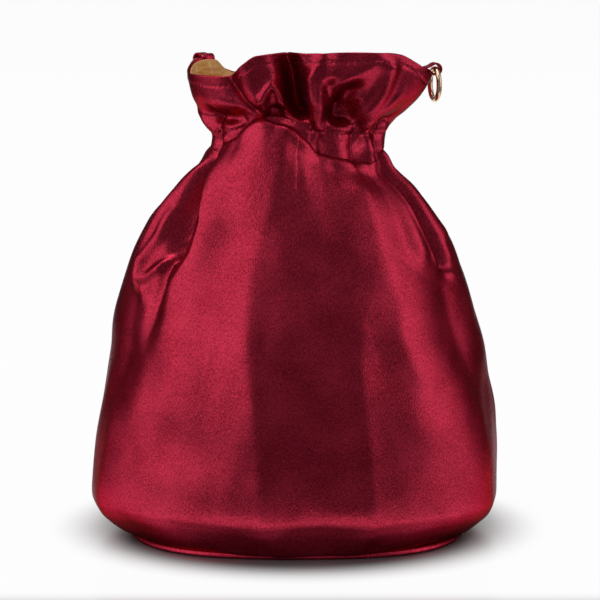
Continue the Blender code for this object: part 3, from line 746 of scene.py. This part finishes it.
# Where a tab is sewn in, the ring's eye and the axis that it swings on
def tabFrame(side):
    angle = np.array([seamAngle(side, cloth["rimHeight"])])
    rim = rimHeight(angle)
    sagging = sides["tabWidth"] ** 2 / (8 * outline["mouth"][2] / 2)
    depth = cloth["satin"] + cloth["gap"] + sagging + sides["strip"] + sides["slit"] / 2
    top = plainPoint(angle, rim, depth)
    foot = plainPoint(angle, rim - sides["stem"], depth)
    facing = math.radians(sides["turn"][side])
    axis = np.array([math.sin(facing), -math.cos(facing), 0])
    out = np.cross(axis, (0, 0, 1))
    out = out * np.sign(np.dot(out, (math.sin(angle[0]), -math.cos(angle[0]), 0)))
    down = np.array([np.dot(foot - top, out), (foot - top)[2]])
    place = sides["eye"][side]
    return top, out, down, top + out * place[0] + np.array([0, 0, place[1]]), axis


# A point of the cloth with only its main folds, as the tabs are sewn to
def plainPoint(angle, level, depth):
    height = level + gatherLift(angle, level) - neckHeight
    perRadian = wallPerRadian(angle, level)
    rise = np.zeros_like(height)
    for high, width, path in mainFolds:
        rise += strokeRise(angle, height, perRadian,
                           tuple((a, h, high, width) for a, h in path))
    pleat = (level - casingHigh) / gather["reachUp"]
    rise += (gather["pleatDepth"] * (1 - smooth(pleat))
             * np.abs(np.cos(angle * gather["pleats"] / 2)))
    flat = flattened(bodyNormal(angle, level, 0), 1.0)
    return (bodyPoint(angle, level, 0) + flat * (rise - depth)[..., None])[0]


# The middle line of the strip: up the stem, over the rim, round the ring's wire and back
def tabPath(down, place):
    apart = (sides["strip"] + sides["slit"]) / 2
    mean = (sides["ringOuter"] - sides["wire"]) / 2
    bend = mean - math.sqrt(mean ** 2 - (sides["tabWidth"] / 2) ** 2)
    radius = sides["wire"] / 2 + bend + cloth["gap"] + sides["strip"] / 2
    eye, crest = np.array(place), np.array([0.0, sides["crest"]])
    towards = (eye - crest) / np.linalg.norm(eye - crest)
    waist = eye - towards * radius * sides["eyeNeck"]
    middle = [down * (1 - t) for t in np.linspace(0, 1, 6)[:-1]]
    middle += [t * t * waist + 2 * t * (1 - t) * crest for t in np.linspace(0, 1, 12)]
    middle = np.array(middle)
    run = np.gradient(middle, axis=0)
    run /= np.linalg.norm(run, axis=1)[:, None]
    left = np.stack([-run[:, 1], run[:, 0]], axis=1) * apart
    facing = math.atan2(-towards[1], -towards[0])
    opening = math.acos(1 / sides["eyeNeck"]) * 0.9
    arc = [eye + radius * np.array([math.cos(facing - a), math.sin(facing - a)])
           for a in np.linspace(opening, 2 * math.pi - opening, 33)]
    path = np.array(list(middle + left) + arc + list((middle - left)[::-1]))
    for _ in range(3):
        path[1:-1] = path[:-2] * 0.2 + path[1:-1] * 0.6 + path[2:] * 0.2
    return path


# A strip with rounded edges, folded round the ring
def makeTab(side):
    top, out, down, eye, axis = tabFrame(side)
    path = tabPath(down, sides["eye"][side])
    run = np.gradient(path, axis=0)
    run /= np.linalg.norm(run, axis=1)[:, None]
    across = np.stack([-run[:, 1], run[:, 0]], axis=1)
    half, wide, rounding = sides["strip"] / 2, sides["tabWidth"] / 2, sides["edge"]
    profile = []
    for cx, cy, start in ((half - rounding, wide - rounding, 0),
                          (-half + rounding, wide - rounding, 90),
                          (-half + rounding, -wide + rounding, 180),
                          (half - rounding, -wide + rounding, 270)):
        for degrees in (0, 30, 60, 90):
            t = math.radians(start + degrees)
            profile.append((cx + rounding * math.cos(t), cy + rounding * math.sin(t)))
    rings = []
    for (x, z), (ax, az) in zip(path, across):
        rings.append([top + out * (x + ax * s) + np.array([0, 0, z + az * s]) + axis * w
                      for s, w in profile])
    points = np.array(rings)
    high, count = points.shape[:2]
    faces = gridFaces(high, count, True)
    faces.append(tuple(range(count - 1, -1, -1)))
    faces.append(tuple((high - 1) * count + i for i in range(count)))
    length = np.concatenate([[0], np.cumsum(np.linalg.norm(np.diff(path, axis=0), axis=1))])
    uv = np.stack(np.meshgrid([w for s, w in profile], length), axis=-1)
    tab = newMesh("tab_strip_" + side, points.reshape(-1, 3), faces, uv.reshape(-1, 2))
    return tab, eye, axis


ringShape = {"around": 96, "wireSides": 28}


def makeRing(side, eye, axis):
    mean, wire = (sides["ringOuter"] - sides["wire"]) / 2, sides["wire"] / 2
    t = np.linspace(0, 2 * math.pi, ringShape["around"], endpoint=False)
    s = np.linspace(0, 2 * math.pi, ringShape["wireSides"], endpoint=False)
    outward = np.outer(np.sin(t), axis) + np.outer(np.cos(t), (0, 0, 1))
    sideways = np.cross(axis, (0, 0, 1))
    middle = eye - np.array([0, 0, mean]) + outward * mean
    points = (middle[:, None] + outward[:, None] * np.cos(s)[None, :, None] * wire
              + sideways * np.sin(s)[None, :, None] * wire)
    faces = []
    high, wide = points.shape[:2]
    for i in range(high):
        for j in range(wide):
            a, b = i * wide + j, i * wide + (j + 1) % wide
            faces.append((a, b, (i + 1) % high * wide + (j + 1) % wide,
                          (i + 1) % high * wide + j))
    return newMesh("ring_wire_" + side, points.reshape(-1, 3), faces)


# A row of short thread stitches, each a capsule laid along the line
def stitchRow(name, line, normals):
    along = np.concatenate([[0], np.cumsum(np.linalg.norm(np.diff(line, axis=0), axis=1))])
    points, faces = [], []
    starts = np.arange(stitches["pitch"] / 2, along[-1] - stitches["pitch"], stitches["pitch"])
    for start in starts:
        at = start + np.linspace(0, 1, 6) * stitches["length"]
        path = np.stack([np.interp(at, along, line[:, k]) for k in range(3)], axis=1)
        normal = np.stack([np.interp(at, along, normals[:, k]) for k in range(3)], axis=1)
        normal /= np.linalg.norm(normal, axis=1)[:, None]
        run = path[-1] - path[0]
        run /= np.linalg.norm(run)
        sideways = np.cross(normal, run)
        lift = np.sin(np.linspace(0, math.pi, 6))
        first = len(points)
        for p, n, w, up in zip(path, normal, sideways, lift):
            thick = stitches["radius"] * (0.45 + 0.55 * up)
            centre = p + n * stitches["radius"] * (up - 0.6)
            for k in range(6):
                t = k * math.pi / 3
                points.append(centre + (n * math.cos(t) + w * math.sin(t)) * thick)
        faces += gridFaces(6, 6, True, first)
        faces.append(tuple(first + k for k in range(5, -1, -1)))
        faces.append(tuple(first + 30 + k for k in range(6)))
    return newMesh(name, points, faces)


def clothLine(anglesAt, levelOf, count=700):
    first, last = anglesAt(levelOf(np.array([0.0]))[0])[[0, -1]]
    angle = np.linspace(first + 0.03, last - 0.03, count)
    level = levelOf(angle)
    line = clothPoints(angle[None], level[None], 0.0)[0]
    normals = flattened(bodyNormal(angle, level, 1), 0.6)
    return line, normals


def makeStitches():
    rows = {
        "hem": lambda angle: rimHeight(angle) - stitches["hemDrop"],
        "casing_low": lambda angle: np.full(angle.shape, casingLow),
        "casing_high": lambda angle: np.full(angle.shape, casingHigh),
    }
    made = []
    for panel, anglesAt in (("front", frontAngles), ("back", backAngles)):
        for row, levelOf in rows.items():
            line, normals = clothLine(anglesAt, levelOf)
            made.append(stitchRow(f"stitches_{row}_{panel}", line, normals))
    return made


# A socket that can be used in sums
class Value:
    def __init__(self, tree, socket):
        self.tree, self.socket = tree, socket

    def maths(self, operation, a, b=None):
        made = self.tree.nodes.new("ShaderNodeMath")
        made.operation = operation
        for slot, given in zip(made.inputs, (a, b)):
            feed(self.tree, slot, given)
        return Value(self.tree, made.outputs[0])

    def __add__(self, other):
        return self.maths("ADD", self, other)

    def __sub__(self, other):
        return self.maths("SUBTRACT", self, other)

    def __mul__(self, other):
        return self.maths("MULTIPLY", self, other)

    def __truediv__(self, other):
        return self.maths("DIVIDE", self, other)

    def __rsub__(self, other):
        return self.maths("SUBTRACT", other, self)

    def __rtruediv__(self, other):
        return self.maths("DIVIDE", other, self)

    __radd__ = __add__
    __rmul__ = __mul__


def feed(tree, slot, given):
    if isinstance(given, Value):
        tree.links.new(given.socket, slot)
    elif given is not None:
        slot.default_value = given


# A material's nodes, made one at a time by type, settings and sockets
class Finish:
    def __init__(self, name, owner=None):
        self.data = owner or bpy.data.materials.new(name)
        self.data.use_nodes = True
        self.tree = self.data.node_tree
        self.tree.nodes.clear()

    def node(self, kind, settings=None, sockets=None, output=0):
        made = self.tree.nodes.new("ShaderNode" + kind)
        for key, given in (settings or {}).items():
            if key == "stops":
                for i, (place, colour) in enumerate(given):
                    stop = (made.color_ramp.elements[i] if i < 2
                            else made.color_ramp.elements.new(place))
                    stop.position, stop.color = place, colour
            else:
                setattr(made, key, given)
        for key, given in (sockets or {}).items():
            feed(self.tree, made.inputs[key], given)
        return Value(self.tree, made.outputs[output]) if len(made.outputs) else None

    def noise(self, vector, scale, detail=3.0, roughness=0.5):
        return self.node("TexNoise", {}, {"Vector": vector, "Scale": scale, "Detail": detail,
                                          "Roughness": roughness})

    def mixed(self, a, b, factor):
        return self.node("Mix", {"data_type": "RGBA"}, {0: factor, 6: a, 7: b}, 2)

    def stretched(self, vector, scale):
        return self.node("VectorMath", {"operation": "MULTIPLY"}, {0: vector, 1: scale})

    def bump(self, height, distance, strength=1.0, normal=None):
        return self.node("Bump", {}, {"Height": height, "Distance": distance,
                                      "Strength": strength, "Normal": normal})

    def surface(self, sockets):
        shader = self.node("BsdfPrincipled", {}, sockets)
        self.node("OutputMaterial", {}, {"Surface": shader})
        return self.data


def colour(red, green, blue):
    def linear(v):
        v = v / 255
        return v / 12.92 if v <= 0.04045 else ((v + 0.055) / 1.055) ** 2.4
    return (linear(red), linear(green), linear(blue), 1.0)


satinLook = {
    "deep": colour(146, 27, 45),
    "light": colour(210, 54, 82),
    "edge": colour(120, 60, 84),
    "metallic": 0.90,
    "roughness": 0.27,
    "threads": (2000.0, 900.0, 1.0),
    "grainScale": 1500.0,
    "grain": 0.00017,
    "patchScale": 55.0,
    "creaseScale": 170.0,
    "creases": 0.00008,
    "middle": 0.41,
    "contrast": 5.5,
}


def satin():
    f = Finish("crimson_satin")
    place = f.node("TexCoord", output=3)
    weave = f.node("TexCoord", output=2)
    threads = f.noise(f.stretched(weave, satinLook["threads"]), 1.0, 2.0, 0.6)
    grain = f.noise(place, satinLook["grainScale"], 2.0, 0.7)
    patches = f.noise(place, satinLook["patchScale"], 3.0, 0.55)
    shade = threads * 0.35 + grain * 0.45 + patches * 0.20
    tone = f.mixed(satinLook["deep"], satinLook["light"],
                   (shade - satinLook["middle"]) * satinLook["contrast"])
    rough = satinLook["roughness"] - 0.06 + patches * 0.12
    normal = f.bump(threads * 0.5 + grain * 0.5, satinLook["grain"])
    creased = f.noise(place, satinLook["creaseScale"], 3.0, 0.5)
    normal = f.bump(creased, satinLook["creases"], 1.0, normal)
    return f.surface({"Base Color": tone, "Metallic": satinLook["metallic"],
                      "Roughness": rough, "Normal": normal,
                      "Specular Tint": satinLook["edge"], "Anisotropic": 0.3})


liningLook = {
    # deep is the painted shade in the crinkles' hollows and light the painted highlight on their
    # crests
    "deep": colour(200, 128, 58),
    "light": colour(255, 206, 128),
    "metallic": 0.15,
    "roughness": 0.40,
    "sheen": 0.2,
    "threadScale": 1300.0,
    "threads": 0.00006,
    "creaseScale": 170.0,
    "creases": 0.0012,
}


def goldLining():
    f = Finish("gold_lining_cloth")
    place = f.node("TexCoord", output=3)
    threads = f.noise(place, liningLook["threadScale"], 2.0, 0.6)
    creased = f.noise(place, liningLook["creaseScale"], 4.0, 0.6)
    # Painted shade and highlight: the colour follows the crinkles' height, darker in their
    # hollows and lighter on their crests, with random tone from the threads
    tone = f.mixed(liningLook["deep"], liningLook["light"], creased * 0.7 + threads * 0.5 - 0.1)
    normal = f.bump(creased, liningLook["creases"])
    normal = f.bump(threads, liningLook["threads"], 1.0, normal)
    return f.surface({"Base Color": tone, "Metallic": liningLook["metallic"],
                      "Roughness": liningLook["roughness"] + threads * 0.1,
                      "Normal": normal, "Sheen Weight": liningLook["sheen"]})


ringLook = {
    "deep": colour(226, 190, 150),
    "light": colour(244, 214, 180),
    "roughness": 0.14,
    "wearScale": 420.0,
    "scratchScale": (3800.0, 3800.0, 500.0),
    "scratches": 0.000008,
}


def lightGold():
    f = Finish("light_gold_wire")
    place = f.node("TexCoord", output=3)
    wear = f.noise(place, ringLook["wearScale"], 4.0, 0.6)
    scratches = f.noise(f.stretched(place, ringLook["scratchScale"]), 1.0, 2.0, 0.6)
    return f.surface({"Base Color": f.mixed(ringLook["deep"], ringLook["light"], wear),
                      "Metallic": 1.0,
                      "Roughness": ringLook["roughness"] + wear * 0.10 + scratches * 0.05,
                      "Normal": f.bump(scratches, ringLook["scratches"])})


# Plain fibrous finishes: two colours, the fibres' scale, detail and depth, and the gloss
fibreLooks = {
    "crimson_thread": {"deep": colour(120, 24, 38), "light": colour(178, 46, 68),
                       "fibre": (5200.0, 1.0, 0.5), "depth": 0.00004,
                       "roughness": 0.55, "metallic": 0.2},
    "grey_board": {"deep": colour(140, 126, 108), "light": colour(178, 164, 142),
                   "fibre": (900.0, 4.0, 0.7), "depth": 0.0001,
                   "roughness": 0.86, "metallic": 0.0},
    "white_elastic": {"deep": colour(196, 192, 186), "light": colour(228, 225, 220),
                      "fibre": (1800.0, 2.0, 0.6), "depth": 0.0001,
                      "roughness": 0.8, "metallic": 0.0},
}


def fibrous(name):
    look = fibreLooks[name]
    f = Finish(name)
    fibre = f.noise(f.node("TexCoord", output=3), *look["fibre"])
    return f.surface({"Base Color": f.mixed(look["deep"], look["light"], fibre),
                      "Roughness": look["roughness"], "Metallic": look["metallic"],
                      "Normal": f.bump(fibre, look["depth"])})


# Soft light from two tall boxes and a smaller one above, round a sweep of paper
studio = {
    "front": -1.2,
    "back": 2.6,
    "halfWidth": 1.3,
    "curve": 0.9,
    "wall": 3.0,
    "world": 0.16,
    "left": {"azimuth": -62, "away": 1.25, "size": (1.75, 1.9), "height": 0.65, "glow": 0.94},
    "right": {"azimuth": 76, "away": 1.25, "size": (1.05, 1.6), "height": 0.50, "glow": 0.96},
    "top": {"size": (1.0, 0.8), "place": (-0.10, -0.02, 1.45), "glow": 2.0},
}


# The paper is white in a strip that widens away from the camera, in metres, and shades to grey at
# the sides and in front as painted shade. Close round the base it darkens with a painted contact
# shadow.
paper = {
    "whites": (colour(238, 238, 240), colour(246, 246, 247)),
    # The painted contact shadow's colour, laid on the paper close round the base
    "paintedContactShadow": colour(118, 116, 118),
    # The grey of the painted shade that the paper falls to at the sides and in front
    "paintedFalloffGrey": 0.22,
    "roughness": 0.22,
    "glow": 0.96,
    "stripHalfWidth": 0.04,
    "stripStart": 1.3,
    "widening": 0.108,
    "sideFade": 0.30,
    "frontEdge": 0.122,
    "frontFade": 0.036,
    "oval": (0.080, 0.077),
    "paintedShadowFade": 0.48,
}


def paperWithPaintedShade():
    f = Finish("paper_with_painted_shade")
    seen = [f.node("LightPath", output=ray) for ray in (0, 3, 6)]
    seen = f.node("Math", {"operation": "MINIMUM"}, {0: seen[0] + seen[1] + seen[2], 1: 1.0})
    place = f.node("TexCoord", output=3)
    sideways, along = [f.node("SeparateXYZ", {}, {0: place}, axis) for axis in (0, 1)]
    across = f.node("Math", {"operation": "ABSOLUTE"}, {0: sideways})
    strip = paper["stripHalfWidth"]
    # Painted shade: far runs from 0 in the white strip to 1 at the sides and in front, where the
    # paper is painted grey as if the light fell off there
    aside = (across - strip - (along + paper["stripStart"]) * paper["widening"])
    ahead = (0.0 - along - paper["frontEdge"]) / paper["frontFade"]
    far = f.node("Math", {"operation": "MAXIMUM"}, {0: aside / paper["sideFade"], 1: ahead})
    far = f.node("MapRange", {"interpolation_type": "SMOOTHSTEP"}, {0: far})
    # Painted contact shadow: clear is 0 on an oval round the base and 1 beyond it
    wide, deep = paper["oval"]
    oval = f.node("VectorMath", {"operation": "LENGTH"},
                  {0: f.stretched(place, (1 / wide, 1 / deep, 0.0))}, 1)
    clear = f.node("MapRange", {"interpolation_type": "SMOOTHSTEP"},
                   {0: (oval - 1.0) / paper["paintedShadowFade"]})
    white = f.mixed(*paper["whites"], f.noise(place, 40.0, 2.0))
    # The paper's white is darkened to the painted contact shadow where clear is low
    white = f.mixed(paper["paintedContactShadow"], white, clear)
    grey = paper["paintedFalloffGrey"]
    paint = f.node("BsdfPrincipled", {}, {
        "Base Color": f.mixed(white, (grey, grey, grey, 1.0), far),
        "Roughness": paper["roughness"], "Specular IOR Level": 0.35})
    glow = f.node("Emission", {}, {"Color": (1, 1, 1, 1), "Strength": 1.0})
    # The white glow is cut where the painted shade and the painted contact shadow lie
    share = seen * paper["glow"] * clear * (1 - far)
    f.node("OutputMaterial", {}, {
        "Surface": f.node("MixShader", {}, {0: share, 1: paint, 2: glow})})
    return f.data


def makeStage():
    back, curve = studio["back"], studio["curve"]
    profile = [(studio["front"], 0.0), (back, 0.0)]
    profile += [(back + curve * math.sin(t), curve - curve * math.cos(t))
                for t in np.linspace(0.1, math.pi / 2, 16)]
    profile += [(back + curve, studio["wall"])]
    points = [(x, y, z) for x in (-studio["halfWidth"], studio["halfWidth"])
              for y, z in profile]
    count = len(profile)
    faces = [(i, count + i, count + i + 1, i + 1) for i in range(count - 1)]
    sweep = newMesh("pale_sweep", points, faces)
    sweep.data.materials.append(paperWithPaintedShade())


# glow is how bright the box's face is, as the satin reflects it
def softbox(name, where, size, glow, aim=(0, 0, 0.11)):
    lamp = bpy.data.lights.new(name, "AREA")
    lamp.shape = "RECTANGLE"
    lamp.size, lamp.size_y = size
    lamp.energy = glow * math.pi * size[0] * size[1]
    obj = bpy.data.objects.new(name, lamp)
    obj.location = where
    obj.rotation_euler = (Vector(aim) - Vector(where)).to_track_quat("-Z", "Y").to_euler()
    bpy.context.scene.collection.objects.link(obj)


def makeLights():
    for side in ("left", "right"):
        box = studio[side]
        t = math.radians(box["azimuth"])
        where = (box["away"] * math.sin(t), -box["away"] * math.cos(t), box["height"])
        softbox("softbox_" + side, where, box["size"], box["glow"])
    top = studio["top"]
    softbox("softbox_top", top["place"], top["size"], top["glow"])
    world = bpy.data.worlds.new("studio_air")
    f = Finish("studio_air", world)
    air = f.node("Background", {}, {"Color": (1, 1, 1, 1), "Strength": studio["world"]})
    f.node("OutputWorld", {}, {"Surface": air})
    bpy.context.scene.world = world


# Places in metres, the tilt in degrees and the lens in millimetres
camera = {"place": (0.0, -1.3, 0.312), "down": 8.97, "lens": 169.8, "shift": 0.005}


def makeCamera():
    data = bpy.data.cameras.new("camera")
    data.lens, data.sensor_width = camera["lens"], 36.0
    data.shift_x = camera["shift"]
    data.clip_start, data.clip_end = 0.05, 30
    obj = bpy.data.objects.new("camera", data)
    obj.location = camera["place"]
    obj.rotation_euler = (math.radians(90 - camera["down"]), 0, 0)
    bpy.context.scene.collection.objects.link(obj)
    bpy.context.scene.camera = obj


# Gives a piece its material and the body it rides on, and hides the solids that it stands in for
def finished(piece, material, body, slot, *nodes):
    piece.data.materials.append(material)
    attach(piece, body)
    if nodes:
        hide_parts(*nodes)


crimson, gold, metal = satin(), goldLining(), lightGold()
threads, boardGrey, bandWhite = [fibrous(name) for name in fibreLooks]

front, back = makePanel("front_satin", frontAngles), makePanel("back_satin", backAngles)
finished(front, crimson, "bag", "satin", "front_panel")
finished(back, crimson, "bag", "satin", "back_panel")
print("satin panels made")
lining = makeLining()
finished(lining, gold, "bag", "gold_lining", "lining_wall")
sole, board, liningFloor = makeBase()
finished(sole, crimson, "bag", "satin", "base_panel")
finished(board, boardGrey, "bag", "board", "base_board")
finished(liningFloor, gold, "bag", "gold_lining", "lining_base")
finished(makeElastic(), bandWhite, "bag", "elastic", "neck_elastic")
print("lining, base and elastic made")
for side in ("left", "right"):
    tab, eye, axis = makeTab(side)
    finished(tab, crimson, "bag", "satin", "tab_" + side)
    finished(makeRing(side, eye, axis), metal, "ring_" + side, "light_gold", "ring_" + side)
rows = makeStitches()
for row in rows:
    finished(row, threads, "bag", "satin")
print("tabs, rings and stitches made")

makeStage()
makeLights()
makeCamera()
bpy.context.scene.view_settings.view_transform = "Standard"

print("scene ready")
